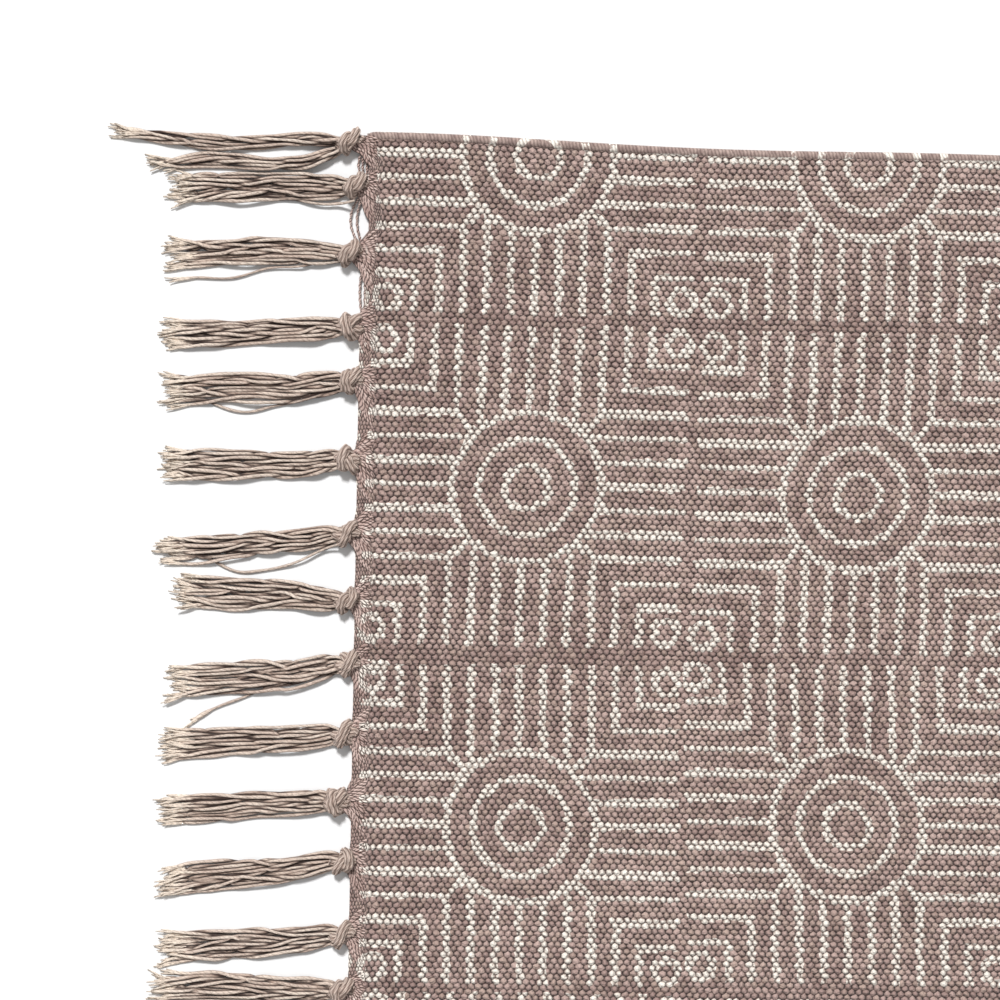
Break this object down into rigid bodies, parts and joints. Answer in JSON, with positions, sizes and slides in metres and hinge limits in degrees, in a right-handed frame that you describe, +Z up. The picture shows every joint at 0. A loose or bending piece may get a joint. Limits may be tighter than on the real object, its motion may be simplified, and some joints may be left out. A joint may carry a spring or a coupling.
{
  "type": "cotton rug",
  "caption": "Flat-woven rectangular rug with a knotted tassel fringe at both short ends, laid flat, block-printed with rings inside nested squares.",
  "frame": {"origin": "middle of the rug on the floor: the centre of the bounding box's underside", "axes": "+X along the rug's length and its warp, +Y across it along the weft, +Z up out of the printed face"},
  "size_m": [1.082, 0.612, 0.0068],
  "materials": {
    "printed_cloth": "matt heavy cotton flat weave, dusty mauve print on undyed cream, with cream lines left unprinted",
    "warp_yarn": "matt plied cotton warp yarn, greyish beige-mauve, paler and frayed at the cut ends"
  },
  "bodies": {
    "root": {"woven_panel": "printed_cloth", "tassel_left_01": "warp_yarn", "tassel_left_02": "warp_yarn", "tassel_left_03": "warp_yarn", "tassel_left_04": "warp_yarn", "tassel_left_05": "warp_yarn", "tassel_left_06": "warp_yarn", "tassel_left_07": "warp_yarn", "tassel_left_08": "warp_yarn", "tassel_left_09": "warp_yarn", "tassel_left_10": "warp_yarn", "tassel_left_11": "warp_yarn", "tassel_left_12": "warp_yarn", "tassel_left_13": "warp_yarn", "tassel_left_14": "warp_yarn", "tassel_left_15": "warp_yarn", "tassel_left_16": "warp_yarn", "tassel_left_17": "warp_yarn", "tassel_left_18": "warp_yarn", "tassel_left_19": "warp_yarn", "tassel_left_20": "warp_yarn", "tassel_left_21": "warp_yarn", "tassel_left_22": "warp_yarn", "tassel_left_23": "warp_yarn", "tassel_left_24": "warp_yarn", "tassel_left_25": "warp_yarn", "tassel_right_01": "warp_yarn", "tassel_right_02": "warp_yarn", "tassel_right_03": "warp_yarn", "tassel_right_04": "warp_yarn", "tassel_right_05": "warp_yarn", "tassel_right_06": "warp_yarn", "tassel_right_07": "warp_yarn", "tassel_right_08": "warp_yarn", "tassel_right_09": "warp_yarn", "tassel_right_10": "warp_yarn", "tassel_right_11": "warp_yarn", "tassel_right_12": "warp_yarn", "tassel_right_13": "warp_yarn", "tassel_right_14": "warp_yarn", "tassel_right_15": "warp_yarn", "tassel_right_16": "warp_yarn", "tassel_right_17": "warp_yarn", "tassel_right_18": "warp_yarn", "tassel_right_19": "warp_yarn", "tassel_right_20": "warp_yarn", "tassel_right_21": "warp_yarn", "tassel_right_22": "warp_yarn", "tassel_right_23": "warp_yarn", "tassel_right_24": "warp_yarn", "tassel_right_25": "warp_yarn"}
  },
  "joints": []
}
